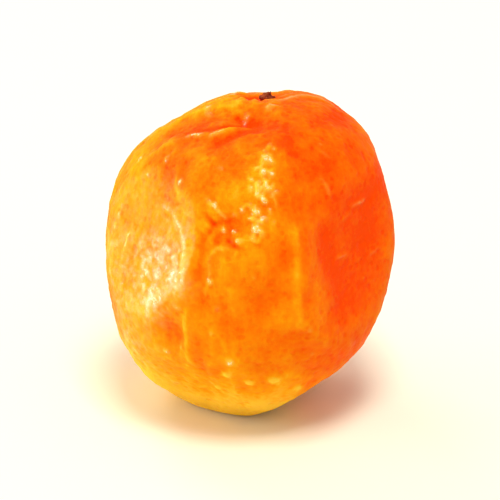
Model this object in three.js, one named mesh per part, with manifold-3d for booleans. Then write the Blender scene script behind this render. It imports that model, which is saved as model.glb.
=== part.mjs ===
// Dried kumquat: one whole small citrus fruit, sugared and dried, standing on its blossom end.
// Millimetres, +Z up. The front of the fruit faces -Y and its left cheek faces -X.
// The fruit is one solid. It was round when fresh: drying pressed cheeks flat, sank dents between them and
// left soft ridges where the peel had to fold, so it is made from a plump barrel in that same order.
// The only other piece is the woody button of the stalk, which sits in its own socket at the stem end.
// The origin is on the surface it stands on, under the middle of its bounding box.

import * as THREE from "three";
import { mergeVertices } from "three/addons/utils/BufferGeometryUtils.js";
import Module from "manifold-3d";

const wasm = await Module();
wasm.setup();

// ---- driving dimensions ----
const HALF_WIDTH = 13.45; // along X, of the plump fruit
const HALF_DEPTH = 13.1; // along Y
const HALF_HEIGHT = 15.35; // along Z
const SQUARENESS = 2.14; // 2 is an ellipsoid, more is a boxier barrel
const TAPER = 0.0036; // how much wider the fruit gets for each millimetre towards the stem
const LEAN_RIGHT = 0.077; // how far it leans for each millimetre of height
const LEAN_BACK = 0.05;
const FOOT_CUT = 0.9; // how much of the underside has settled flat
const SKIN_RADIUS = 13.8; // turns an angle on the fruit into millimetres over its skin
const DETAIL = 18; // each edge of the starting icosahedron is cut into DETAIL + 1
const CHEEK_SPREAD = 0.4; // cosine of the angle past which a cheek's plane no longer counts
const DENT_FLATNESS = 1.3; // 1 is a plain bell, more gives a flatter floor and steeper sides
const FOLD_FADE = 0.6; // how softly a fold runs out at its ends: 1 fades along its whole length
const FOLD_STEPS = 32; // points along each fold
const WELD = 1e-5; // vertices nearer than this are one vertex

const STEM_AZIMUTH = 172; // the stem end is tipped a little back, away from the front
const STEM_ELEVATION = 80;
const BUTTON_RADIUS = 0.85; // calyx of the stalk, to the tips of its lobes
const BUTTON_THICK = 0.4;
const BUTTON_SUNK = 0.25; // how far the calyx sits down in the peel
const BUTTON_LOBES = 5;
const STUB_RADIUS = 0.42; // the stalk where it snapped off
const STUB_HEIGHT = 0.8; // above the underside of the calyx
const STUB_SIDES = 12;
const SOCKET_GAP = 0.2; // clear space between the button and its socket
const SOCKET_SIDES = 20;

const DEGREE = Math.PI / 180;

// A direction from the middle of the fruit: azimuth 0 is the front, 90 its right, elevation 90 straight up.
function toward(azimuth, elevation) {
  const level = Math.cos(elevation * DEGREE);
  return new THREE.Vector3(
    Math.sin(azimuth * DEGREE) * level,
    -Math.cos(azimuth * DEGREE) * level,
    Math.sin(elevation * DEGREE),
  );
}

// ---- cheeks pressed flat: a plane at `reach` from the middle, with its edge rounded over `soft` ----
const cheeks = [
  { azimuth: -52, elevation: 17, reach: 12.55, soft: 0.45 }, // the broad flat left cheek
  { azimuth: -6, elevation: 2, reach: 12.75, soft: 0.9 }, // the front
  { azimuth: -28, elevation: -40, reach: 13.2, soft: 1.0 }, // the underside of the front
  { azimuth: 56, elevation: -50, reach: 14.15, soft: 0.9 }, // low on the right
  { azimuth: 51, elevation: 12, reach: 12.0, soft: 0.5 }, // the long right cheek, beside the front ridge
  { azimuth: 99, elevation: 18, reach: 13.4, soft: 0.9 }, // high on the right flank
  { azimuth: -126, elevation: 52, reach: 14.5, soft: 1.0 }, // slope up to the stem at the back left
  { azimuth: 168, elevation: 12, reach: 12.2, soft: 0.7 }, // back
  { azimuth: -132, elevation: -14, reach: 12.7, soft: 0.8 }, // back left, low down
].map((cheek) => ({ ...cheek, normal: toward(cheek.azimuth, cheek.elevation) }));

// ---- sunken spots: `wide` and `tall` are half sizes over the skin, `turn` tips the tall axis clockwise ----
// A negative depth is a swelling, where the dried peel stayed plump.
const dents = [
  { azimuth: 50, elevation: 20, wide: 4.6, tall: 7.0, turn: 4, depth: 0.4 }, // hollow in the right cheek
  { azimuth: -33, elevation: -11, wide: 1.6, tall: 2.2, turn: 0, depth: 0.95 }, // thumb mark low on the left
  { azimuth: -11, elevation: 36, wide: 2.1, tall: 1.5, turn: -35, depth: 0.6 }, // pucker on the front
  { azimuth: -8, elevation: 20, wide: 2.4, tall: 3.2, turn: 0, depth: -0.25 }, // plump lobe below it
  { azimuth: 8, elevation: 50, wide: 2.2, tall: 4.4, turn: 8, depth: -0.3 }, // plump brow right of it
  { azimuth: -10, elevation: 78, wide: 2.0, tall: 1.4, turn: 0, depth: 0.8 }, // deep end of the stem fold
  { azimuth: -42, elevation: 61, wide: 3.0, tall: 1.6, turn: 0, depth: 0.35 }, // hollow below its near lip
  { azimuth: 9, elevation: 6, wide: 1.8, tall: 5.0, turn: 0, depth: 0.25 }, // hollow left of the front ridge
  { azimuth: STEM_AZIMUTH, elevation: STEM_ELEVATION, wide: 2, tall: 2, turn: 0, depth: 0.65 }, // stem dimple
  { azimuth: 176, elevation: 66, wide: 2.4, tall: 2.4, turn: 0, depth: 0.4 }, // hollow behind the stem
  { azimuth: 135, elevation: 54, wide: 4.4, tall: 4.4, turn: 0, depth: -0.3 }, // plump right shoulder
  { azimuth: -104, elevation: 26, wide: 4.6, tall: 5.4, turn: 0, depth: -0.45 }, // plump left shoulder
  { azimuth: 142, elevation: 18, wide: 2.6, tall: 6.0, turn: -14, depth: 0.8 }, // right of the back
  { azimuth: -166, elevation: -20, wide: 5.0, tall: 2.6, turn: 15, depth: 0.8 }, // low on the back
].map((dent) => ({ ...dent, ...tangents(toward(dent.azimuth, dent.elevation)) }));

// ---- folds along a path of [azimuth, elevation]: ridges, and grooves where `rise` is negative ----
const folds = [
  // the ridge down the front, and the groove that runs from beside it up towards the stem
  { rise: 0.6, half: 0.95, path: [[24, 32], [20, 25], [20, 15], [20, 3], [25, -8], [46, -24]] },
  { rise: -0.6, half: 1.7, path: [[42, 66], [33, 56], [29, 46], [28, 36], [29, 26], [32, 14]] },
  // the crack that runs down from the pucker on the front
  { rise: -0.5, half: 0.9, path: [[-21, 43], [-13, 37], [-16, 28], [-20, 19], [-21, 8]] },
  // the stem fold, with its near and far lips
  { rise: -0.6, half: 0.9, path: [[14, 77], [-23, 78], [-60, 72], [-80, 62], [-84, 46]] },
  { rise: 0.25, half: 0.8, path: [[-22, 74], [-48, 69], [-66, 60], [-76, 46]] },
  { rise: 0.3, half: 1.0, path: [[0, 83], [-75, 83], [-93, 72], [-98, 58]] },
  // the rim of the left cheek, and the lip beside the thumb mark
  { rise: 0.3, half: 0.6, path: [[-52, 38], [-39, 36], [-30, 27], [-25, 14], [-28, 4], [-37, -3]] },
  { rise: 0.45, half: 0.9, path: [[-24, -2], [-24, -11], [-27, -22]] },
  // two soft folds down the back
  { rise: 0.55, half: 1.1, path: [[126, 40], [124, 18], [128, -4], [140, -24]] },
  { rise: 0.55, half: 1.3, path: [[-170, 38], [-158, 16], [-164, -4]] },
].map((fold) => ({ ...fold, line: pathOver(fold.path) }));

// East and north over the skin at a direction, to lay a dent out in.
function tangents(middle) {
  const east = new THREE.Vector3(0, 0, 1).cross(middle).normalize();
  return { middle, east, north: middle.clone().cross(east) };
}

// A smooth line of points over the unit sphere through a few directions.
function pathOver(stops) {
  const curve = new THREE.CatmullRomCurve3(stops.map(([azimuth, elevation]) => toward(azimuth, elevation)));
  return curve.getPoints(FOLD_STEPS).map((point) => point.normalize());
}

// The smaller of two lengths, rounded off where they are within `soft` of each other.
function softMin(a, b, soft) {
  const near = Math.max(soft - Math.abs(a - b), 0) / soft;
  return Math.min(a, b) - near * near * soft / 4;
}

function plumpRadius(way) {
  const sum =
    (Math.abs(way.x) / HALF_WIDTH) ** SQUARENESS +
    (Math.abs(way.y) / HALF_DEPTH) ** SQUARENESS +
    (Math.abs(way.z) / HALF_HEIGHT) ** SQUARENESS;
  return sum ** (-1 / SQUARENESS);
}

function pressCheeks(radius, way) {
  return cheeks.reduce((left, { normal, reach, soft }) => {
    const facing = way.dot(normal);
    return facing > CHEEK_SPREAD ? softMin(left, reach / facing, soft) : left;
  }, radius);
}

function dentDepth(way) {
  return dents.reduce((sum, { middle, east, north, wide, tall, turn, depth }) => {
    if (way.dot(middle) < 0) return sum;
    const right = way.dot(east) * SKIN_RADIUS;
    const up = way.dot(north) * SKIN_RADIUS;
    const c = Math.cos(turn * DEGREE);
    const s = Math.sin(turn * DEGREE);
    const across = (right * c - up * s) / wide;
    const along = (right * s + up * c) / tall;
    return sum + depth * Math.exp(-((across * across + along * along) ** DENT_FLATNESS));
  }, 0);
}

function foldRise(way) {
  return folds.reduce((sum, { rise, half, line }) => {
    let nearest = 0;
    for (let i = 1; i < line.length; i++)
      if (line[i].distanceToSquared(way) < line[nearest].distanceToSquared(way)) nearest = i;
    const distance = line[nearest].distanceTo(way) * SKIN_RADIUS;
    const fade = Math.sin(Math.PI * (nearest + 1) / (line.length + 1)) ** FOLD_FADE;
    return sum + rise * fade * Math.exp(-((distance / half) ** 2));
  }, 0);
}

function skinPoint(way) {
  const radius = pressCheeks(plumpRadius(way), way) - dentDepth(way) + foldRise(way);
  const point = way.clone().multiplyScalar(radius);
  const widen = 1 + TAPER * point.z;
  return new THREE.Vector3(
    point.x * widen + LEAN_RIGHT * point.z,
    point.y * widen + LEAN_BACK * point.z,
    point.z,
  );
}

// ---- manifold-3d in and out ----
function toSolid(geometry) {
  const bare = geometry.clone();
  bare.deleteAttribute("normal");
  bare.deleteAttribute("uv");
  const closed = mergeVertices(bare, WELD);
  return new wasm.Manifold(new wasm.Mesh({
    numProp: 3,
    vertProperties: closed.attributes.position.array,
    triVerts: new Uint32Array(closed.index.array),
  }));
}

function toGeometry(solid) {
  const { numProp, vertProperties, triVerts } = solid.getMesh();
  const points = [];
  for (let i = 0; i < vertProperties.length; i += numProp) points.push(...vertProperties.slice(i, i + 3));
  const geometry = new THREE.BufferGeometry();
  geometry.setAttribute("position", new THREE.Float32BufferAttribute(points, 3));
  geometry.setIndex(new THREE.BufferAttribute(triVerts, 1));
  geometry.computeVertexNormals();
  return geometry;
}

// ---- the fruit ----
function makeSkin() {
  const geometry = new THREE.IcosahedronGeometry(1, DETAIL);
  const points = geometry.attributes.position;
  for (let i = 0; i < points.count; i++) {
    const way = new THREE.Vector3().fromBufferAttribute(points, i).normalize();
    points.setXYZ(i, ...skinPoint(way).toArray());
  }
  return geometry;
}

const lowest = skinPoint(toward(0, -90));
const slab = HALF_WIDTH * 3;
const belowFoot = new THREE.BoxGeometry(slab, slab, slab).translate(0, 0, lowest.z + FOOT_CUT - slab / 2);

// The button stands square to the skin: its own Z runs out along the stem.
const stemWay = toward(STEM_AZIMUTH, STEM_ELEVATION);
const stemTurn = new THREE.Quaternion().setFromUnitVectors(new THREE.Vector3(0, 0, 1), stemWay);
const stemSeat = skinPoint(stemWay).addScaledVector(stemWay, -BUTTON_SUNK);

const socketRadius = BUTTON_RADIUS + SOCKET_GAP;
const socketDepth = BUTTON_RADIUS * 4;
const socket = new THREE.CylinderGeometry(socketRadius, socketRadius, socketDepth, SOCKET_SIDES)
  .rotateX(Math.PI / 2)
  .translate(0, 0, socketDepth / 2 - SOCKET_GAP)
  .applyQuaternion(stemTurn)
  .translate(...stemSeat.toArray());

const kumquat = new THREE.Mesh(
  toGeometry(toSolid(makeSkin()).subtract(toSolid(belowFoot)).subtract(toSolid(socket))),
  new THREE.MeshStandardMaterial({ color: 0xff8a14, roughness: 0.32, metalness: 0 }),
);
kumquat.name = "kumquat";

// ---- the stalk's button: a lobed calyx with the snapped stub of the stalk on it ----
const LOBE_STEPS = 4;
const LOBE_NOTCH = 0.16; // how far the notches between lobes cut in, as a share of the radius

function calyxOutline() {
  const steps = BUTTON_LOBES * LOBE_STEPS;
  const points = Array.from({ length: steps }, (_, i) => {
    const angle = (i / steps) * 2 * Math.PI;
    const radius = BUTTON_RADIUS * (1 - LOBE_NOTCH + LOBE_NOTCH * Math.cos(BUTTON_LOBES * angle));
    return new THREE.Vector2(radius * Math.cos(angle), radius * Math.sin(angle));
  });
  return new THREE.Shape(points);
}

function stubProfile() {
  const rooted = BUTTON_THICK / 3; // the stub starts inside the calyx, and is joined to it
  return [
    new THREE.Vector2(0, rooted),
    new THREE.Vector2(STUB_RADIUS * 1.25, rooted),
    new THREE.Vector2(STUB_RADIUS, STUB_HEIGHT * 0.6),
    new THREE.Vector2(STUB_RADIUS * 0.9, STUB_HEIGHT),
    new THREE.Vector2(0, STUB_HEIGHT * 0.92),
  ];
}

const calyx = new THREE.ExtrudeGeometry(calyxOutline(), { depth: BUTTON_THICK, bevelEnabled: false });
const stub = new THREE.LatheGeometry(stubProfile(), STUB_SIDES).rotateX(Math.PI / 2);

const stemButton = new THREE.Mesh(
  toGeometry(toSolid(calyx).add(toSolid(stub))),
  new THREE.MeshStandardMaterial({ color: 0x4a2412, roughness: 0.8, metalness: 0 }),
);
stemButton.name = "stem_button";
stemButton.position.copy(stemSeat);
stemButton.quaternion.copy(stemTurn);

// ---- the part, with its origin under the middle of its bounding box ----
const part = new THREE.Group();
part.add(kumquat, stemButton);
const bounds = new THREE.Box3().setFromObject(part, true);
const middle = bounds.getCenter(new THREE.Vector3());
part.position.set(-middle.x, -middle.y, -bounds.min.z);

export default part;
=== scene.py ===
import math
import random

import bmesh
import bpy
from mathutils import Matrix, Vector, noise
from mathutils.bvhtree import BVHTree
from mathutils.kdtree import KDTree


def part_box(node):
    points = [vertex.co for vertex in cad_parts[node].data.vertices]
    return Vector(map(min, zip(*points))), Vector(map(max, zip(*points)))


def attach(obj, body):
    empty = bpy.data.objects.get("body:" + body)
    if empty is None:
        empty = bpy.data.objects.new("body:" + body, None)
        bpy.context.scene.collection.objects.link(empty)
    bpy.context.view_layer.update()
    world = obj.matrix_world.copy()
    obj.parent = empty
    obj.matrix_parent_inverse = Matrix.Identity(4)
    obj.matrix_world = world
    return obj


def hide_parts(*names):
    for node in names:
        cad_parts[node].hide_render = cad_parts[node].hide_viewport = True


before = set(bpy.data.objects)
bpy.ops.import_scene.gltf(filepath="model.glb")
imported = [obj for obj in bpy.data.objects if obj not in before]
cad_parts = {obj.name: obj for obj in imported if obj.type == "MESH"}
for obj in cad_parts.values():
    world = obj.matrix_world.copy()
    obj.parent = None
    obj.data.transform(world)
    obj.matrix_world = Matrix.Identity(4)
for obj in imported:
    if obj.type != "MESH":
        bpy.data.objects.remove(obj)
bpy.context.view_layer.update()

# ---- The fruit ----
# One whole kumquat, dried in sugar until its cheeks were flat and its peel had sunk and folded between them.
# It grew as one piece, so its skin is one closed surface. The frame's solid gives every large form: an even
# cage of squares is drawn out onto it, rounded, and kept to carry the finer relief of the peel.
MM = 0.001
FRUIT_MIDDLE = Vector((-0.1, 0.1, 14.5)) * MM  # every direction on the fruit is seen from here
WELL_OUTSIDE = 100 * MM  # how far from the middle the rays that find the solid's surface set out
CAGE_CELLS = 32  # squares along each edge of the cube that the cage starts from
STEM = (172, 80)  # direction of the stem end
SOCKET_ANGLE = 0.13  # half the angle, in radians, that the stem's socket takes up
SOCKET_SMOOTHING = 30  # passes that close the cage over the socket
CAGE_SMOOTHING = 1  # passes that take the solid's facets out of the cage
BROAD_SMOOTHING = 40  # passes that iron the cage flat, to tell its hollows from its ridges
ROUNDING_LEVELS = 2


def toward(azimuth, elevation):
    """A direction from the middle of the fruit: azimuth 0 is its front, 90 its right; elevation 90 is up."""
    azimuth = math.radians(azimuth)
    elevation = math.radians(elevation)
    level = math.cos(elevation)
    return Vector((math.sin(azimuth) * level, -math.cos(azimuth) * level, math.sin(elevation)))


def iron(bm, verts, passes):
    """Evens a surface out. In each pass every point moves halfway to the middle of its neighbours."""
    for _ in range(passes):
        bmesh.ops.smooth_vert(bm, verts=verts, factor=0.5, use_axis_x=True, use_axis_y=True, use_axis_z=True)


def drawn_cage():
    """An even cube-sphere drawn out onto the CAD fruit, with the stem's socket bridged over."""
    solid = bmesh.new()
    solid.from_mesh(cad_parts["kumquat"].data)
    bmesh.ops.remove_doubles(solid, verts=solid.verts, dist=MM / 10000)
    surface = BVHTree.FromBMesh(solid)
    solid.free()
    bm = bmesh.new()
    bmesh.ops.create_cube(bm, size=2)
    bmesh.ops.subdivide_edges(bm, edges=bm.edges, cuts=CAGE_CELLS - 1, use_grid_fill=True)
    stem = toward(*STEM)
    over_socket = []
    for v in bm.verts:
        way = Vector([math.tan(c * math.pi / 4) for c in v.co]).normalized()
        if way.angle(stem) < SOCKET_ANGLE:
            over_socket.append(v)
        v.co = surface.ray_cast(FRUIT_MIDDLE + way * WELL_OUTSIDE, -way)[0]
    iron(bm, over_socket, SOCKET_SMOOTHING)
    iron(bm, bm.verts, CAGE_SMOOTHING)
    return bm


def mark_relief(bm):
    """Stores how far each point stands above the ironed fruit, in millimetres. Hollows are negative."""
    relief = bm.verts.layers.float.new("relief")
    bm.normal_update()
    before = [(v.co.copy(), v.normal.copy()) for v in bm.verts]
    iron(bm, bm.verts, BROAD_SMOOTHING)
    for v, (place, normal) in zip(bm.verts, before):
        v[relief] = (place - v.co).dot(normal) / MM
        v.co = place
    middle = sum(v[relief] for v in bm.verts) / len(bm.verts)
    for v in bm.verts:
        v[relief] -= middle


cage = drawn_cage()
mark_relief(cage)
cage_mesh = bpy.data.meshes.new("fruit_cage")
cage.to_mesh(cage_mesh)
cage.free()
fruit = bpy.data.objects.new("candied_fruit", cage_mesh)
bpy.context.scene.collection.objects.link(fruit)
rounding = fruit.modifiers.new("rounding", "SUBSURF")
rounding.levels = rounding.render_levels = ROUNDING_LEVELS
bpy.context.view_layer.update()
fruit_mesh = bpy.data.meshes.new_from_object(fruit.evaluated_get(bpy.context.evaluated_depsgraph_get()))
fruit.modifiers.clear()
fruit.data = fruit_mesh
bpy.data.meshes.remove(cage_mesh)

# The relief of the peel. Its oil glands stand up as pebbles where the flesh shrank under it. Where it had to
# fold it creased in thin lines with beaded lips, and syrup dried on it in small drops. All of this is raised
# from the skin itself, so it is in the mesh. Heights and widths are in millimetres.
SKIN_RADIUS = 14.0  # turns an angle on the fruit into millimetres over its skin
GLAND_SPACING = 0.85
GLAND_HEIGHT = 0.07
GRAIN_SPACING = 0.40  # the grain between the glands
GRAIN_HEIGHT = 0.030
WRINKLE_WIDTH = 1.25  # wrinkles run from stem to blossom end
WRINKLE_LENGTH = 3.6
WRINKLE_HEIGHT = 0.16
LUMP_SPACING = 3.0  # soft lumps of the flesh below
LUMP_HEIGHT = 0.16
CRINKLE_SPACING = 0.66
CRINKLE_HEIGHT = 0.15
STREAK_LENGTH = 1.6  # streaks lie level across the right flank
STREAK_WIDTH = 0.36
STREAK_HEIGHT = 0.07
DIMPLE_RADIUS = 4.5  # the gathered peel round the stem button
PUCKER_COUNT = 9
PUCKER_RADIUS = 1.7
PUCKER_HEIGHT = 0.10
SEAT_RADIUS = 0.95  # the hollow that the button sits in
SEAT_DEPTH = 0.42
SCAR_DEPTH = 0.4  # the small pit where the blossom was, in the middle of the foot
FOOT_HEIGHT = 0.25  # below this the peel settled flat, and it has no relief
PATH_STEPS = 40  # stretches that the line of a crease is laid out in
CREASE_FADE = 2.4  # half widths from its line at which a crease has faded out
BEAD_FADE = 1.8  # the same for a bead, in radii
GLAZE_BY_HEIGHT = 6  # the taller a bead, the more syrup dried on it
THICK_GLAZE = 1.4  # the most on a drop or a gland that stands alone
CRINKLE_GLAZE = 0.34
CLEAR_GLAZE = 0.2
CHANCE_SEED = 7
noise.seed_set(CHANCE_SEED)  # without it noise_vector gives other shifts on each run

CREASES = [  # height, half width, how far it is glazed, and the directions it runs through
    # The pucker on the front: its upper lip, its slit, and the branch below.
    (0.15, 0.19, 0.8, [(-23, 44), (-17, 41), (-11, 38)]),
    (-0.30, 0.28, 0.0, [(-21, 38), (-16, 35), (-12, 36), (-8, 38)]),
    (-0.24, 0.26, 0.0, [(-10, 30), (-6, 27), (-1, 26)]),
    # The crack that runs down from the pucker, and the lip of the lobe beside it.
    (-0.22, 0.30, 0.0, [(-16, 34), (-20, 28), (-20, 21), (-21, 12)]),
    (0.16, 0.27, 0.4, [(-8, 26), (-14, 26), (-17, 22), (-16, 14), (-18, 7)]),
    # The flat cheek: its edge, the notch across its top, the rise above the notch, and a short rib.
    (0.07, 0.34, 0.5, [(-49, 37), (-41, 36), (-34, 32), (-29, 25), (-27, 15), (-27, 8), (-31, 1), (-40, -8)]),
    (-0.12, 0.26, 0.0, [(-50, 41), (-41, 39), (-34, 40)]),
    (0.12, 0.32, 0.0, [(-48, 52), (-42, 45), (-37, 42)]),
    (0.18, 0.20, 0.8, [(-66, 20), (-66, 11)]),
    # The front ridge, its turn under the right flank, and the bottom of the groove beside it.
    (0.20, 0.38, 0.0, [(20, 33), (19, 22), (19, 12), (19, 2), (20, -6)]),
    (0.04, 0.50, 0.0, [(19, -4), (25, -10), (34, -17), (48, -24)]),
    (-0.12, 0.75, 0.0, [(38, 65), (31, 58), (26, 50), (24, 42), (24, 34), (25, 26)]),
    # The stem fold: its slit, its near lip with two beaded stretches, and the hollow under that lip.
    (-0.26, 0.32, 0.0, [(16, 79), (-6, 79), (-24, 76), (-42, 73), (-58, 69)]),
    (0.12, 0.34, 0.1, [(-8, 78), (-20, 74), (-33, 70), (-55, 66), (-68, 58), (-77, 47)]),
    (0.18, 0.24, 1.3, [(-50, 67), (-56, 66), (-61, 64)]),
    (0.13, 0.22, 1.0, [(-29, 71), (-35, 70), (-40, 68)]),
    (-0.24, 0.50, 0.0, [(4, 74), (-9, 72), (-22, 68), (-32, 65)]),
    # The far lip of the stem fold, with three beaded stretches.
    (0.13, 0.34, 0.1, [(0, 84), (-75, 83), (-93, 75), (-97, 63)]),
    (0.15, 0.26, 1.0, [(-176, 72), (-168, 73), (-152, 76)]),
    (0.14, 0.24, 0.8, [(-4, 85), (-9, 83), (-9, 79)]),
    (0.15, 0.26, 1.1, [(-96, 76), (-85, 75), (-74, 76)]),
    # The rim of the thumb mark.
    (0.18, 0.34, 0.2, [(-25, 0), (-26, -6), (-26, -12), (-26, -18), (-25, -25)]),
    # Short streaks on the right flank and above it.
    (0.20, 0.22, 0.5, [(41, 48), (43, 41)]),
    (0.15, 0.20, 0.5, [(57, 34), (67, 33)]),
    (0.11, 0.20, 0.4, [(50, 31), (56, 32)]),
    (0.10, 0.20, 0.4, [(64, 10), (71, 11)]),
    (0.10, 0.20, 0.4, [(43, 16), (50, 16)]),
    (0.12, 0.22, 0.4, [(50, 57), (53, 52)]),
    # The rim to the right of the stem.
    (0.16, 0.36, 0.45, [(98, 80), (113, 76), (121, 71), (119, 66), (115, 61), (108, 56)]),
    # Folds of the back and sides.
    (0.16, 0.42, 0.1, [(127, 42), (124, 18), (128, -4), (141, -26)]),
    (-0.24, 0.34, 0.0, [(140, 40), (143, 20), (148, 2), (160, -12)]),
    (0.14, 0.40, 0.1, [(-171, 40), (-158, 16), (-164, -6)]),
    (-0.22, 0.32, 0.0, [(-148, 34), (-140, 14), (-146, -8)]),
    (-0.16, 0.30, 0.0, [(-118, 44), (-112, 24), (-116, 4)]),
    (-0.18, 0.34, 0.0, [(-178, -12), (178, -26), (-168, -40)]),
    (-0.16, 0.30, 0.0, [(88, -12), (96, -26), (90, -40)]),
]

BEADS = [  # direction, radius and height of drops of dried syrup and of glands that stand out; some are pits
    (-8, -22, 0.30, 0.25), (-45, -46, 0.40, 0.12), (-12, 33, 0.27, 0.20), (-7, 33, 0.27, 0.22),
    (-5, 29, 0.26, 0.18), (-17, 42, 0.25, 0.14), (-29, 0, 0.32, 0.15), (-36, -22, 0.28, 0.16),
    (-82, 45, 0.26, 0.17), (-76, 23, 0.28, 0.14), (-76, 18, 0.25, 0.12), (-41, 48, 0.28, 0.18),
    (-31, 82, 0.25, -0.20), (70, 82, 0.45, 0.12), (-59, 53, 0.30, 0.12), (122, 59, 0.34, 0.14),
    (-60, 14, 0.50, -0.14), (-61, 1, 0.45, -0.09), (12, 58, 0.36, 0.17), (9, 53, 0.28, 0.14),
    (5, 49, 0.26, 0.13), (10, 48, 0.24, 0.13), (8, 43, 0.27, 0.14), (4, 40, 0.25, 0.15),
    (7, 37, 0.25, 0.14), (3, 34, 0.32, 0.17), (-3, 41, 0.26, 0.12), (1, 48, 0.24, 0.11),
    (-16, 13, 0.24, 0.13), (-13, 1, 0.40, 0.06), (14, 46, 0.28, 0.10), (2, 30, 0.30, 0.10),
    (13, 52, 0.28, 0.12),
]
CLEAR_DROPS = [  # the same for the drops near the foot, which are clear; they are painted paler and golden, as painted glints
    (-10, -29, 0.44, 0.22), (0, -33, 0.40, 0.20), (11, -32, 0.46, 0.22), (24, -39, 0.38, 0.18),
    (-16, -41, 0.30, 0.18),
]
SWELLINGS = [  # direction, reach and height of broad rises of the peel; below 0 they are hollows
    (-39, -8, 1.7, 0.25), (-29, -15, 1.8, -0.32),
]
SCATTERED_BEADS = 70
CRINKLED_BANDS = [  # lower and upper end, spread to each side in degrees, and how many crinkles
    ((2, 29), (7, 49), 4.8, 26), ((9, 50), (14, 63), 3.2, 13),
    ((-152, 16), (-145, 50), 8, 20), ((113, -12), (110, 24), 8, 20), ((180, -46), (176, -14), 8, 20),
    ((-119, -26), (-116, 8), 8, 20),
]


def path_over(stops):
    """Evenly spread directions along the great arcs from stop to stop, with the corners rounded."""
    ways = [toward(*stop) for stop in stops]
    points = []
    for i in range(PATH_STEPS + 1):
        t = i / PATH_STEPS * (len(ways) - 1)
        k = min(int(t), len(ways) - 2)
        points.append(ways[k].lerp(ways[k + 1], t - k).normalized())
    for _ in range(3):
        inner = [(a + b * 2 + c).normalized() for a, b, c in zip(points, points[1:], points[2:])]
        points = [points[0], *inner, points[-1]]
    return points


def spot(azimuth, elevation, reach):
    """A weight that is 1 at a direction and fades to 0 about `reach` millimetres away over the skin."""
    middle = toward(azimuth, elevation)
    return lambda way: math.exp(-1.6 * (way.angle(middle) * SKIN_RADIUS / reach) ** 2)


def patchwork(patches):
    """The changes of several patches added up. Each patch is a direction, a reach and its change."""
    weighed = [(spot(azimuth, elevation, reach), change) for azimuth, elevation, reach, change in patches]
    return lambda way: sum(change * weight(way) for weight, change in weighed)


class Relief:
    """Heights and glaze gathered for every point of the skin, in millimetres along its normal."""

    def __init__(self, bm):
        self.verts = list(bm.verts)
        self.ways = [(v.co - FRUIT_MIDDLE).normalized() for v in self.verts]
        self.height = [0.0] * len(self.verts)
        self.glaze = [0.0] * len(self.verts)
        self.finder = KDTree(len(self.ways))
        for i, way in enumerate(self.ways):
            self.finder.insert(way, i)
        self.finder.balance()

    def crease(self, height, half, glazed, stops):
        """A ridge or groove along a path, which thins out towards both ends."""
        reach = half * CREASE_FADE / SKIN_RADIUS
        points = path_over(stops)
        nearest = {}
        for k, point in enumerate(points):
            share = 0.35 + 0.65 * math.sin(math.pi * (k + 0.5) / len(points)) ** 0.7
            wander = 1 + 0.6 * noise.noise(point * 14)
            for _, i, distance in self.finder.find_range(point, reach):
                if i not in nearest or distance < nearest[i][0]:
                    nearest[i] = (distance, share * wander)
        for i, (distance, share) in nearest.items():
            across = distance * SKIN_RADIUS / half
            fall = share * math.exp(-across * across)
            self.height[i] += height * fall
            self.glaze[i] += glazed * fall

    def bead(self, azimuth, elevation, radius, height, most_glaze):
        """A rounded drop or gland with a slightly ragged edge; below 0 in height it is a pit."""
        middle = toward(azimuth, elevation)
        for _, i, distance in self.finder.find_range(middle, radius * BEAD_FADE / SKIN_RADIUS):
            ragged = 1 + 0.5 * noise.noise(self.ways[i] * 34)
            fall = math.exp(-((distance * ragged * SKIN_RADIUS / radius) ** 3))
            self.height[i] += height * fall
            self.glaze[i] += min(max(0.0, height) * GLAZE_BY_HEIGHT, most_glaze) * fall


def smooth_step(none, full, value):
    """Goes smoothly from 0, where the value is at `none` or beyond it, to 1, where it is at `full`."""
    t = max(0.0, min(1.0, (value - none) / (full - none)))
    return t * t * (3 - 2 * t)


def drawn_out(place, across, up):
    """The place to read a pattern at, so that its marks come out as wide and as tall as given."""
    return Vector((place.x / across, place.y / across, place.z / up))


flat_cheek = spot(-54, 17, 8.0)
smooth_flank = spot(62, 14, 9.5)
brow = spot(6, 46, 4.2)
# The first two crinkled bands lie on the brow. Each of the others has a glazed patch round it.
crinkled_patches = [spot(low[0], (low[1] + high[1]) / 2, 4.4) for low, high, _, _ in CRINKLED_BANDS[2:]]
pucker = spot(-11, 35, 2.6)
valley = spot(-23, 22, 4.2)
stem_fold = spot(-30, 78, 4.2)
stem_rim = spot(*STEM, 3.4)
underside = spot(-20, -48, 8.5)
back_hollow = spot(170, -4, 8.0)
blossom_scar = spot(0, -90, 1.1)


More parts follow.
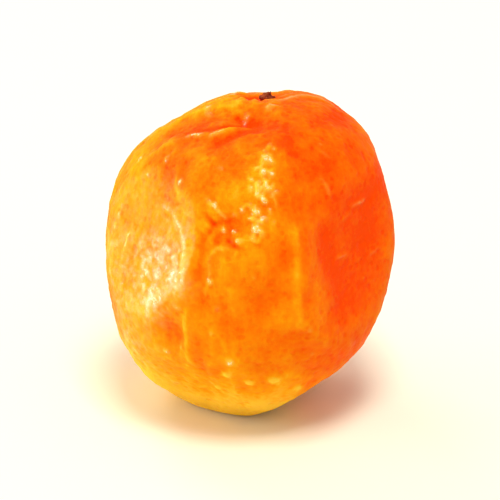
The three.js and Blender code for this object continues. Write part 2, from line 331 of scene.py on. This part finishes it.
def peel_height(way, place):
    """Glands, wrinkles and crinkles of the peel at a place given in millimetres."""
    taut = min(1.0, 0.9 * flat_cheek(way) + smooth_flank(way))
    patches = 0.5 + 0.5 * noise.noise(place / 4.5 + Vector((7, 3, 1)))
    pebbled = brow(way) + 0.3 * flat_cheek(way) + 0.6 * underside(way) + 0.5 * stem_fold(way)
    glands = max(0.0, min(1.4, 0.3 + 0.5 * patches + 0.6 * pebbled - 0.5 * smooth_flank(way)))
    cell = noise.voronoi(place / GLAND_SPACING)[0][0]
    height = GLAND_HEIGHT * glands * (math.exp(-(cell / 0.34) ** 2) - 0.3)
    height += GRAIN_HEIGHT * glands * noise.noise(place / GRAIN_SPACING + Vector((0, 11, 5)))
    along = drawn_out(place, WRINKLE_WIDTH, WRINKLE_LENGTH)
    ridged = 0.5 - abs(noise.noise(along + 0.35 * noise.noise_vector(place / 2.6)))
    wrinkled = 0.35 + 0.65 * patches + 0.7 * valley(way) + 0.5 * back_hollow(way) - 0.85 * taut
    height += WRINKLE_HEIGHT * max(0.0, wrinkled) * (ridged - 0.28)
    height += LUMP_HEIGHT * (1 - 0.6 * taut) * noise.fractal(place / LUMP_SPACING, 1.0, 2.1, 2)
    crinkled = pucker(way) + 0.7 * stem_fold(way) + 0.5 * stem_rim(way) + 0.35 * valley(way)
    crinkles = noise.noise(place / CRINKLE_SPACING) + 0.6 * noise.noise(place / 0.36)
    height += CRINKLE_HEIGHT * crinkled * crinkles
    streak = noise.noise(drawn_out(place, STREAK_LENGTH, STREAK_WIDTH))
    height += STREAK_HEIGHT * smooth_flank(way) * max(0.0, streak - 0.2)
    return height


def gather_at_stem(way):
    """The dimple round the stem button, with the peel drawn into it in small radial puckers."""
    stem = toward(*STEM)
    distance = way.angle(stem) * SKIN_RADIUS
    if distance > DIMPLE_RADIUS:
        return 0.0
    side = stem.orthogonal().normalized()
    other = stem.cross(side)
    turn = math.atan2(way.dot(other), way.dot(side))
    ring = math.exp(-((distance - PUCKER_RADIUS) / 0.8) ** 2)
    seat = math.exp(-(distance / SEAT_RADIUS) ** 4)
    puckers = ring * math.cos(PUCKER_COUNT * turn + 1.5 * math.sin(2 * turn))
    return PUCKER_HEIGHT * puckers - SEAT_DEPTH * seat


# How deep the peel's colour is, as its own tone with painted shade and painted light, and how sugared it is.
# Places are in millimetres too.
CHEEK_FACE = toward(-52, 19)  # the way the flat left cheek faces, and how far it lies from the middle
CHEEK_DISTANCE = 12.36
LIGHT_AND_SHADE_PATCHES = [  # direction and reach of a patch, and how much deeper its colour is there, as painted shade; below 0 it is paler, as painted light
    (-56, 59, 5.4, 0.33),  # under the left end of the stem fold
    (20, 72, 4.5, 0.20),  # beside its right end
    (76, 42, 6.5, 0.14),  # right shoulder
    (55, -14, 6.5, 0.17),  # foot of the right flank
    (-30, -14, 1.7, 0.14),  # thumb mark
    (-11, 17, 4.0, -0.10),  # lobe on the front
    (-61, -23, 4.4, -0.10),  # below the flat cheek
    (-42, -4, 2.2, -0.16),  # foot of the flat cheek
    (-29, 9, 1.4, -0.12),  # right corner of the flat cheek
]
# Painted glint: the clear drops near the foot are painted paler.
CLEAR_DROP_GLINT = -0.30
FROST_AND_SHEEN_PATCHES = [  # direction and reach of a patch, and how far dried sugar and painted sheen pale it
    (-61, -23, 4.4, 0.11),  # below the flat cheek
    (-42, -4, 2.2, 0.11),  # foot of the flat cheek
    (-29, 9, 1.4, 0.14),  # its right corner
]
clear_drop_glints = [
    (azimuth, elevation, 1.35 * radius, CLEAR_DROP_GLINT) for azimuth, elevation, radius, _ in CLEAR_DROPS
]
light_and_shade_in_patches = patchwork(LIGHT_AND_SHADE_PATCHES + clear_drop_glints)
frost_and_sheen_in_patches = patchwork(FROST_AND_SHEEN_PATCHES)
cheek_edge = spot(-33, 8, 5.6)


def on_cheek(place):
    """1 on the flat left cheek and 0 off it. Its edge is crisp on the right, ragged and soft at the back."""
    above = (place - FRUIT_MIDDLE / MM).dot(CHEEK_FACE) - CHEEK_DISTANCE
    soft = smooth_step(-10.5, -13.0, place.x)
    above += (0.04 + 0.30 * soft) * noise.noise(place / 1.1)
    return smooth_step(-0.26 - 1.1 * soft, -0.08 + 0.04 * soft, above)


def on_brow(way, place):
    """The brow ends at its right in a straight edge, where the groove beside it begins."""
    return brow(way) * smooth_step(3.4, 2.2, place.x)


def tone_and_shade_at(way, place):
    """How deep the peel's colour is, from 0, amber, to 1, red-orange: painted shade on the right side and in
    the groove, painted light at the foot, on the brow and on the cheek, and both in patches.
    """
    # Painted shade: the peel deepens toward the right flank, which is turned away from the window, most past
    # a wavering line.
    shade_from = 5.0 - 1.0 * smooth_step(15, 21, place.z) + 1.1 * noise.noise(place / 3.0)
    tone = 0.56 + 0.012 * place.x + 0.065 * smooth_step(-2.4, 2.4, place.x - shade_from)
    tone += 0.09 * smooth_step(1.8, 3.2, place.x) * smooth_step(13, 19, place.z)  # painted shade in the groove and above it
    tone += 0.12 * smooth_step(-10, -13, place.x)  # back of the left side
    # Painted light: paler toward the foot, as if lit from the table, less so at the right and the back.
    painted_foot_light = (1 - 0.85 * smooth_step(2, 8, place.x)) * (1 - 0.4 * smooth_step(2, 9, place.y))
    tone -= 0.66 * smooth_step(10.0, 0.0, place.z) * painted_foot_light
    tone += 0.06 * smooth_step(24, 29, place.z)  # stem end
    # Painted highlight on the brow and on the flat cheek.
    tone -= 0.16 * on_brow(way, place) + 0.14 * on_cheek(place)
    return tone + light_and_shade_in_patches(way)


def frost_and_sheen_at(way, place):
    """How far dried sugar and painted sheen pale the peel: on the flat cheek, most at its right edge, and
    thinly below it.
    """
    on_face = 0.085 - 0.05 * smooth_step(17.0, 20.5, place.z)
    on_face += 0.18 * cheek_edge(way) * smooth_step(-11.5, -8.5, place.x)
    frosted = on_cheek(place) * on_face + frost_and_sheen_in_patches(way)
    dabs = noise.noise(place / 0.75 + Vector((5, 2, 9))) + 0.5 * noise.noise(place / 0.4)
    return frosted * (0.45 + 1.05 * smooth_step(-0.45, 0.45, dabs))


def glaze_at(way, place):
    """Where syrup dried as a thin glaze: unevenly on the frosted cheek, the brow and the crinkled patches."""
    grain = noise.noise(place / 0.45 + Vector((3, 0, 8))) + 0.5 * noise.noise(place / 1.4)
    patchy = 0.35 + 0.65 * smooth_step(-0.3, 0.6, grain)
    beaded = on_brow(way, place) + 0.8 * sum(patch(way) for patch in crinkled_patches)
    return patchy * (3.0 * frost_and_sheen_at(way, place) + 0.16 * beaded)


skin = bmesh.new()
skin.from_mesh(fruit_mesh)
fine = skin.verts.layers.float.new("fine_relief")
glaze = skin.verts.layers.float.new("glaze")
tone_and_shade = skin.verts.layers.float.new("tone_and_shade")
frost_and_sheen = skin.verts.layers.float.new("frost_and_sheen")
scar = skin.verts.layers.float.new("scar")
skin.normal_update()
relief = Relief(skin)
swelling = patchwork(SWELLINGS)
for way, v in zip(relief.ways, relief.verts):
    v.co += v.normal * swelling(way) * MM
skin.normal_update()
for height, half, glazed, stops in CREASES:
    relief.crease(height, half, glazed, stops)
for azimuth, elevation, radius, height in BEADS:
    relief.bead(azimuth, elevation, radius, height, THICK_GLAZE)
for azimuth, elevation, radius, height in CLEAR_DROPS:
    relief.bead(azimuth, elevation, radius, height, CLEAR_GLAZE)
# Small beads lie anywhere but at the very ends. Crinkles crowd in bands, each a gland and a short bent line.
chance = random.Random(CHANCE_SEED)
for _ in range(SCATTERED_BEADS):
    elevation = math.degrees(math.asin(chance.uniform(-0.75, 0.9)))
    azimuth = chance.uniform(-180, 180)
    relief.bead(azimuth, elevation, chance.uniform(0.16, 0.30), chance.uniform(0.03, 0.09), THICK_GLAZE)
for (low_azimuth, low_elevation), (high_azimuth, high_elevation), spread, count in CRINKLED_BANDS:
    for k in range(count):
        up = (k + chance.uniform(0, 1)) / count
        azimuth = low_azimuth + up * (high_azimuth - low_azimuth) + chance.gauss(0, spread)
        elevation = low_elevation + up * (high_elevation - low_elevation)
        relief.bead(azimuth, elevation, chance.uniform(0.18, 0.30), chance.uniform(0.05, 0.12), CRINKLE_GLAZE)
        stops = [(azimuth, elevation)]
        turn = chance.uniform(0, 2 * math.pi)
        for _ in range(2):
            turn += chance.uniform(-0.9, 0.9)
            stride = chance.uniform(1.6, 3.2)
            stops.append((stops[-1][0] + stride * math.cos(turn), stops[-1][1] + stride * math.sin(turn)))
        relief.crease(chance.uniform(0.07, 0.15), chance.uniform(0.14, 0.20), chance.uniform(0.0, 0.4), stops)
for i, v in enumerate(relief.verts):
    way = relief.ways[i]
    place = v.co / MM
    height = relief.height[i] + peel_height(way, place) + gather_at_stem(way)
    above_foot = max(0.0, min(1.0, (place.z - FOOT_HEIGHT) / (4 * FOOT_HEIGHT)))
    v[fine] = height * above_foot
    v[glaze] = min(1.0, relief.glaze[i] + glaze_at(way, place))
    v[tone_and_shade] = tone_and_shade_at(way, place)
    v[frost_and_sheen] = frost_and_sheen_at(way, place)
    v[scar] = blossom_scar(way)
for v in relief.verts:
    v.co += v.normal * v[fine] * MM
    v.co.z = max(v.co.z, 0.0) + SCAR_DEPTH * MM * v[scar]
skin.to_mesh(fruit_mesh)
skin.free()
for face in fruit_mesh.polygons:
    face.use_smooth = True

# The candied peel is soaked with sugar, so light goes some way into it: amber where it is plump, red-orange
# in folds and on the right side, as painted shade. It has a satin skin, syrup glazes its beads and lips, and
# dried sugar with painted sheen frosts its flat cheek.
PEEL_SHADES = [  # colours by depth, from 0 to 1
    (0.0, (1.0, 0.54, 0.035, 1)),  # gold
    (0.3, (1.0, 0.35, 0.003, 1)),  # amber
    (0.65, (0.99, 0.18, 0.001, 1)),  # orange
    (1.0, (0.98, 0.062, 0.0003, 1)),  # red-orange
]
RELIEF_SHADING = [  # which relief, the height in millimetres that it counts up to, and its change of depth: painted shade in hollows, painted light on ridges
    ("relief", -0.60, 0.24), ("relief", 0.60, -0.12),
    ("fine_relief", -0.30, 0.44), ("fine_relief", 0.24, -0.42),
]
MOTTLING = [  # blotches to a metre, their contrast, and their change of depth
    (210, 2.2, 0.06), (700, 2.4, 0.08), (2300, 3.0, 0.12),
]
STREAKS_PER_METRE = 2100  # the fine streaks from stem to blossom end
STREAK_SQUEEZE = 0.22  # their width as a share of their length
STREAK_SHADING = 0.08
GLANDS_PER_METRE = 1250
GLAND_SHADING = 0.09
SCAR_BROWN = (0.24, 0.075, 0.018, 1)
# The pale cream of dried sugar, used also for painted highlights and sheen.
SUGAR_AND_HIGHLIGHT = (1.0, 0.80, 0.46, 1)
SYRUP_GLEAM = (1.0, 0.76, 0.18, 1)
LIGHT_GOES_IN = 2.5 * MM  # how deep red light goes; green and blue go much less far
GRAIN_PER_METRE = 3000
PORES_PER_METRE = 2400
PEEL_BUMP = 0.06 * MM


def mottle_group():
    """Soft blotches with finer ones in them, from 0 to 1. Size is how many blotches there are to a metre."""
    group = bpy.data.node_groups.new("mottle", "ShaderNodeTree")
    for name, direction, kind in (
        ("Place", "INPUT", "NodeSocketVector"), ("Size", "INPUT", "NodeSocketFloat"),
        ("Contrast", "INPUT", "NodeSocketFloat"), ("Blotches", "OUTPUT", "NodeSocketFloat"),
    ):
        group.interface.new_socket(name=name, in_out=direction, socket_type=kind)
    nodes, links = group.nodes, group.links
    given = nodes.new("NodeGroupInput")
    result = nodes.new("NodeGroupOutput")
    broad = nodes.new("ShaderNodeTexNoise")
    broad.inputs["Detail"].default_value = 4
    broad.inputs["Roughness"].default_value = 0.6
    centred = nodes.new("ShaderNodeMath")
    centred.operation = "SUBTRACT"
    centred.inputs[1].default_value = 0.5
    spread = nodes.new("ShaderNodeMath")
    spread.operation = "MULTIPLY_ADD"
    spread.inputs[2].default_value = 0.5
    spread.use_clamp = True
    links.new(given.outputs["Place"], broad.inputs["Vector"])
    links.new(given.outputs["Size"], broad.inputs["Scale"])
    links.new(broad.outputs["Fac"], centred.inputs[0])
    links.new(centred.outputs[0], spread.inputs[0])
    links.new(given.outputs["Contrast"], spread.inputs[1])
    links.new(spread.outputs[0], result.inputs["Blotches"])
    return group


mottle = mottle_group()


def add_node(tree, kind, **settings):
    """A new node with the settings given by name."""
    node = tree.nodes.new(kind)
    for name, value in settings.items():
        setattr(node, name, value)
    return node


def mix_colour(tree, factor, a, b):
    """A colour between a and b; each of factor, a and b is a socket or a plain value."""
    node = add_node(tree, "ShaderNodeMix", data_type="RGBA", blend_type="MIX")
    for name, value in (("Factor_Float", factor), ("A_Color", a), ("B_Color", b)):
        target = next(s for s in node.inputs if s.identifier == name)
        if isinstance(value, bpy.types.NodeSocket):
            tree.links.new(value, target)
        else:
            target.default_value = value
    return next(s for s in node.outputs if s.identifier == "Result_Color")


def remap(tree, value, low, high, to_low=0.0, to_high=1.0, run="SMOOTHSTEP"):
    """Carries a value from one range over to another, along a smooth curve or in a straight line."""
    node = add_node(tree, "ShaderNodeMapRange", interpolation_type=run)
    tree.links.new(value, node.inputs["Value"])
    for name, number in (("From Min", low), ("From Max", high), ("To Min", to_low), ("To Max", to_high)):
        node.inputs[name].default_value = number
    return node.outputs["Result"]


def math_node(tree, operation, *values):
    """One sum on sockets and plain values."""
    node = add_node(tree, "ShaderNodeMath", operation=operation)
    for target, value in zip(node.inputs, values):
        if isinstance(value, bpy.types.NodeSocket):
            tree.links.new(value, target)
        else:
            target.default_value = value
    return node.outputs[0]


def blotches(tree, place, size, contrast):
    """The mottle group placed in a material, so many blotches to a metre."""
    node = add_node(tree, "ShaderNodeGroup", node_tree=mottle)
    tree.links.new(place, node.inputs["Place"])
    node.inputs["Size"].default_value = size
    node.inputs["Contrast"].default_value = contrast
    return node.outputs["Blotches"]


def stored(tree, name):
    """A value that the mesh holds at each of its points."""
    return add_node(tree, "ShaderNodeAttribute", attribute_name=name).outputs["Fac"]


def candied_peel():
    """Translucent sugared peel: how deep its colour is, how it shines, and its finest grain."""
    material = bpy.data.materials.new("candied_peel")
    material.use_nodes = True
    tree = material.node_tree
    shader = tree.nodes["Principled BSDF"]
    place = add_node(tree, "ShaderNodeTexCoord").outputs["Object"]

    # Depth of colour: the stored tone with painted shade first, then painted shade deeper in folds and
    # painted light paler on ridges.
    depth = stored(tree, "tone_and_shade")
    for name, height, change in RELIEF_SHADING:
        deeper = remap(tree, stored(tree, name), 0.0, height, 0.0, change, "LINEAR")
        depth = math_node(tree, "ADD", depth, deeper)
    # Mottling: soft patches, then blotches about a millimetre across, then grain.
    for size, contrast, change in MOTTLING:
        depth = math_node(tree, "MULTIPLY_ADD", blotches(tree, place, size, contrast), change, depth)
        depth = math_node(tree, "SUBTRACT", depth, change / 2)
    # Fine streaks from stem to blossom end, as the peel shrank round the fruit.
    lengthwise = add_node(tree, "ShaderNodeMapping")
    lengthwise.inputs["Scale"].default_value = (1, 1, STREAK_SQUEEZE)
    tree.links.new(place, lengthwise.inputs["Vector"])
    streaks = blotches(tree, lengthwise.outputs["Vector"], STREAKS_PER_METRE, 2.6)
    depth = math_node(tree, "MULTIPLY_ADD", streaks, STREAK_SHADING, depth)
    depth = math_node(tree, "SUBTRACT", depth, STREAK_SHADING / 2)
    # Oil glands: a deeper dot where each one lies under the peel, a little under a millimetre apart.
    glands = add_node(tree, "ShaderNodeTexVoronoi")
    glands.inputs["Scale"].default_value = GLANDS_PER_METRE
    tree.links.new(place, glands.inputs["Vector"])
    dots = remap(tree, glands.outputs["Distance"], 0.42, 0.16)
    depth = math_node(tree, "MULTIPLY_ADD", dots, GLAND_SHADING, depth)
    depth = math_node(tree, "SUBTRACT", depth, 0.02)
    ramp = add_node(tree, "ShaderNodeValToRGB")
    while len(ramp.color_ramp.elements) < len(PEEL_SHADES):
        ramp.color_ramp.elements.new(0.5)
    for element, (position, colour) in zip(ramp.color_ramp.elements, PEEL_SHADES):
        element.position = position
        element.color = colour
    tree.links.new(depth, ramp.inputs["Fac"])
    # The blossom scar is dry and brown.
    corky = remap(tree, stored(tree, "scar"), 0.3, 0.8)
    colour = mix_colour(tree, corky, ramp.outputs["Color"], SCAR_BROWN)
    # Where the syrup is thickest the colour is paled toward white in grains, as painted glints. The frost is
    # dried sugar with painted sheen, in a blotchy veil.
    painted_glints = remap(tree, stored(tree, "glaze"), 0.80, 1.0, 0.0, 0.8)
    grains = remap(tree, blotches(tree, place, 4200, 3.4), 0.25, 0.8, 0.1, 1.0)
    sugar_and_highlight = math_node(tree, "MULTIPLY", painted_glints, grains)
    sheen_veil = remap(tree, blotches(tree, place, 1500, 3.0), 0.0, 1.0, 0.1, 1.9, "LINEAR")
    sugar_and_highlight = math_node(tree, "MULTIPLY_ADD", stored(tree, "frost_and_sheen"), sheen_veil, sugar_and_highlight)
    colour = mix_colour(tree, sugar_and_highlight, colour, SUGAR_AND_HIGHLIGHT)
    tree.links.new(colour, shader.inputs["Base Color"])

    # A satin skin, with a clear coat of syrup where it is glazed.
    satin = blotches(tree, place, 900, 2.5)
    tree.links.new(remap(tree, satin, 0.0, 1.0, 0.55, 0.78), shader.inputs["Roughness"])
    shader.inputs["IOR"].default_value = 1.4
    shader.inputs["Specular IOR Level"].default_value = 0.09
    shader.inputs["Specular Tint"].default_value = SYRUP_GLEAM
    shader.inputs["Subsurface Weight"].default_value = 0.25
    shader.inputs["Subsurface Radius"].default_value = (1.0, 0.16, 0.03)
    shader.inputs["Subsurface Scale"].default_value = LIGHT_GOES_IN
    glazed = remap(tree, stored(tree, "glaze"), 0.1, 0.6, 0.0, 1.0)
    sparkle = remap(tree, blotches(tree, place, 3600, 3.4), 0.0, 1.0, 0.35, 1.0)
    tree.links.new(math_node(tree, "MULTIPLY", glazed, sparkle), shader.inputs["Coat Weight"])
    shader.inputs["Coat Roughness"].default_value = 0.27
    shader.inputs["Coat IOR"].default_value = 1.45

    # Grain, pores and glands too small for the mesh.
    grain = add_node(tree, "ShaderNodeTexNoise")
    grain.inputs["Scale"].default_value = GRAIN_PER_METRE
    grain.inputs["Detail"].default_value = 3
    tree.links.new(place, grain.inputs["Vector"])
    pores = add_node(tree, "ShaderNodeTexVoronoi")
    pores.inputs["Scale"].default_value = PORES_PER_METRE
    tree.links.new(place, pores.inputs["Vector"])
    height = math_node(tree, "MULTIPLY_ADD", pores.outputs["Distance"], 0.5, grain.outputs["Fac"])
    height = math_node(tree, "MULTIPLY_ADD", dots, -0.8, height)
    bump = add_node(tree, "ShaderNodeBump")
    bump.inputs["Strength"].default_value = 0.8
    bump.inputs["Distance"].default_value = PEEL_BUMP
    tree.links.new(height, bump.inputs["Height"])
    tree.links.new(bump.outputs["Normal"], shader.inputs["Normal"])
    return material


fruit_mesh.materials.append(candied_peel())
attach(fruit, "root")
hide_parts("kumquat")

# ---- The stem button ----
# What is left of the stalk: a dry, five-lobed calyx under two millimetres across, with the snapped end of
# the stalk standing on it. It is woody and brittle, and grew into the dimple at the stem end.
CALYX_RADIUS = 0.85
CALYX_LOBES = 5
STUB_RADIUS = 0.42
STUB_HEIGHT = 0.80
STUB_RIBS = 11
STALK_DARK = (0.090, 0.010, 0.003, 1)
STALK_BROWN = (0.34, 0.050, 0.010, 1)
STALK_WORN = (0.50, 0.15, 0.035, 1)
FIBRES_PER_METRE = 5200
STALK_BUMP = 0.05 * MM
BUTTON_STEPS = 60
BUTTON_PROFILE = [  # radius and height, in millimetres, from the middle of the underside round to the pith
    (0.0, 0.02), (0.45, 0.0), (0.80, 0.10), (CALYX_RADIUS, 0.20), (0.80, 0.29), (0.66, 0.36), (0.52, 0.44),
    (STUB_RADIUS, 0.53), (0.395, 0.62), (0.385, 0.70), (0.375, 0.76), (0.33, STUB_HEIGHT), (0.24, 0.77),
    (0.14, 0.71), (0.0, 0.69),
]


def put_in_order(elements):
    """Sort edges or faces by the points they join, because a spin's own order can change between runs."""
    by_points = sorted(elements, key=lambda element: sorted(v.index for v in element.verts))
    for i, element in enumerate(by_points):
        element.index = i
    elements.sort()


def lobed_calyx():
    """The button upright on its own Z, in millimetres: a turned form, then lobed, ribbed and left ragged."""
    bm = bmesh.new()
    line = [bm.verts.new((radius, 0, height)) for radius, height in BUTTON_PROFILE]
    edges = [bm.edges.new(pair) for pair in zip(line, line[1:])]
    bmesh.ops.spin(
        bm, geom=line + edges, cent=(0, 0, 0), axis=(0, 0, 1), angle=2 * math.pi, steps=BUTTON_STEPS,
        use_merge=True,
    )
    bmesh.ops.remove_doubles(bm, verts=bm.verts, dist=0.001)
    bmesh.ops.recalc_face_normals(bm, faces=bm.faces)
    bm.verts.index_update()
    put_in_order(bm.edges)
    put_in_order(bm.faces)
    for v in bm.verts:
        radius = math.hypot(v.co.x, v.co.y)
        turn = math.atan2(v.co.y, v.co.x)
        on_lobe = smooth_step(STUB_RADIUS, CALYX_RADIUS, radius)
        wave = math.cos(CALYX_LOBES * turn + 0.5 * math.sin(2 * turn))
        scale = 1 + on_lobe * (0.14 * wave - 0.16 + 0.06 * noise.noise(v.co * 4))
        rib = 0.05 * math.cos(STUB_RIBS * turn + 2 * noise.noise(v.co * 1.5)) * smooth_step(0.2, 0.36, radius)
        scale += rib * (1 - on_lobe)
        v.co.x *= scale
        v.co.y *= scale
        v.co.z += on_lobe * 0.07 * (1 + wave) + 0.05 * on_lobe * noise.noise(v.co * 5)
        v.co.z += smooth_step(0.62, 0.76, v.co.z) * (0.13 * noise.noise(v.co * 5) + 0.05 * math.cos(turn + 1))
    return bm


def dry_stalk():
    """Dull dark brown wood, with fibres that run up the stub and paler brown where it is worn."""
    material = bpy.data.materials.new("dry_stalk")
    material.use_nodes = True
    tree = material.node_tree
    shader = tree.nodes["Principled BSDF"]
    place = add_node(tree, "ShaderNodeTexCoord").outputs["Object"]
    fibres = add_node(tree, "ShaderNodeMapping")
    fibres.inputs["Rotation"].default_value = (math.radians(90 - STEM[1]), 0, 0)
    fibres.inputs["Scale"].default_value = (1, 1, 0.25)
    tree.links.new(place, fibres.inputs["Vector"])
    grain = blotches(tree, fibres.outputs["Vector"], FIBRES_PER_METRE, 3.0)
    worn = blotches(tree, place, 1800, 2.6)
    colour = mix_colour(tree, grain, STALK_DARK, STALK_BROWN)
    colour = mix_colour(tree, remap(tree, worn, 0.6, 1.0, 0.0, 0.5), colour, STALK_WORN)
    tree.links.new(colour, shader.inputs["Base Color"])
    tree.links.new(remap(tree, grain, 0.0, 1.0, 0.85, 0.6), shader.inputs["Roughness"])
    shader.inputs["Specular IOR Level"].default_value = 0.12
    bump = add_node(tree, "ShaderNodeBump")
    bump.inputs["Strength"].default_value = 0.6
    bump.inputs["Distance"].default_value = STALK_BUMP
    tree.links.new(grain, bump.inputs["Height"])
    tree.links.new(bump.outputs["Normal"], shader.inputs["Normal"])
    return material


stem_way = toward(*STEM)
button_low, button_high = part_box("stem_button")
button_seat = (button_low + button_high) / 2 - stem_way * STUB_HEIGHT / 2 * MM
button_place = Vector((0, 0, 1)).rotation_difference(stem_way).to_matrix().to_4x4() @ Matrix.Scale(MM, 4)
button_place.translation = button_seat
calyx = lobed_calyx()
bmesh.ops.transform(calyx, matrix=button_place, verts=calyx.verts)
button = bpy.data.objects.new("stem_calyx", bpy.data.meshes.new("stem_calyx"))
calyx.to_mesh(button.data)
calyx.free()
bpy.context.scene.collection.objects.link(button)
for face in button.data.polygons:
    face.use_smooth = True
button.data.materials.append(dry_stalk())
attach(button, "root")
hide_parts("stem_button")

# ---- The studio ----
# A white table top far wider than the fruit, a soft box at the left as a window would be, one overhead, a
# weaker one behind, and an even white room. The camera looks down at the front through a long lens.
TABLE_HALF = 0.8
TABLE_WHITE = (0.96, 0.96, 0.80, 1)
LAMP_COLOUR = (1.0, 0.97, 0.88)
ROOM_LIGHT = 0.46  # what the room gives
ROOM_WHITE = (0.99, 0.99, 0.89, 1)  # what is seen of it, and what is mirrored
SUBJECT = Vector((0, 0, 0.0148))  # near the middle of the fruit; the lamps and the camera face it
VIEW_DOWN = 25  # degrees
VIEW_DISTANCE = 0.30
LONG_LENS = 230

table_bm = bmesh.new()
bmesh.ops.create_grid(table_bm, x_segments=1, y_segments=1, size=TABLE_HALF)
table_mesh = bpy.data.meshes.new("table_top")
table_bm.to_mesh(table_mesh)
table_bm.free()
table = bpy.data.objects.new("table_top", table_mesh)
bpy.context.scene.collection.objects.link(table)
white = bpy.data.materials.new("white_table")
white.use_nodes = True
white_shader = white.node_tree.nodes["Principled BSDF"]
white_shader.inputs["Base Color"].default_value = TABLE_WHITE
white_shader.inputs["Roughness"].default_value = 0.7
table_mesh.materials.append(white)


def soft_box(name, place, width, height, watts):
    """An oblong lamp turned to the fruit. The camera doesn't see it."""
    lamp = bpy.data.lights.new(name, "AREA")
    lamp.shape = "RECTANGLE"
    lamp.size = width
    lamp.size_y = height
    lamp.energy = watts
    lamp.color = LAMP_COLOUR
    holder = bpy.data.objects.new(name, lamp)
    holder.location = place
    holder.visible_camera = False
    holder.rotation_euler = (SUBJECT - Vector(place)).to_track_quat("-Z", "Y").to_euler()
    bpy.context.scene.collection.objects.link(holder)


soft_box("window", (-1.20, 0.14, 0.135), 0.72, 0.40, 10.0)
soft_box("overhead", (0.10, -0.35, 1.40), 0.50, 0.55, 14.5)
soft_box("back_fill", (-0.62, 1.00, 0.95), 0.60, 0.50, 5.0)

room = bpy.data.worlds.new("white_room")
bpy.context.scene.world = room
room.use_nodes = True
room_tree = room.node_tree
room_light = room_tree.nodes["Background"]
room_light.inputs["Color"].default_value = (1, 1, 1, 1)
room_light.inputs["Strength"].default_value = ROOM_LIGHT
room_seen = add_node(room_tree, "ShaderNodeBackground")
room_seen.inputs["Color"].default_value = ROOM_WHITE
rays = add_node(room_tree, "ShaderNodeLightPath")
seen = math_node(room_tree, "MAXIMUM", rays.outputs["Is Camera Ray"], rays.outputs["Is Glossy Ray"])
seen = math_node(room_tree, "MAXIMUM", seen, rays.outputs["Is Transmission Ray"])
room_mix = add_node(room_tree, "ShaderNodeMixShader")
room_tree.links.new(seen, room_mix.inputs["Fac"])
room_tree.links.new(room_light.outputs[0], room_mix.inputs[1])
room_tree.links.new(room_seen.outputs[0], room_mix.inputs[2])
room_tree.links.new(room_mix.outputs[0], room_tree.nodes["World Output"].inputs["Surface"])

camera_data = bpy.data.cameras.new("camera")
camera_data.lens = LONG_LENS
camera_data.clip_start = 0.01
camera = bpy.data.objects.new("camera", camera_data)
bpy.context.scene.collection.objects.link(camera)
camera.location = SUBJECT + toward(0, VIEW_DOWN) * VIEW_DISTANCE
camera.rotation_euler = (SUBJECT - camera.location).to_track_quat("-Z", "Y").to_euler()
bpy.context.scene.camera = camera
bpy.context.scene.view_settings.view_transform = "Standard"
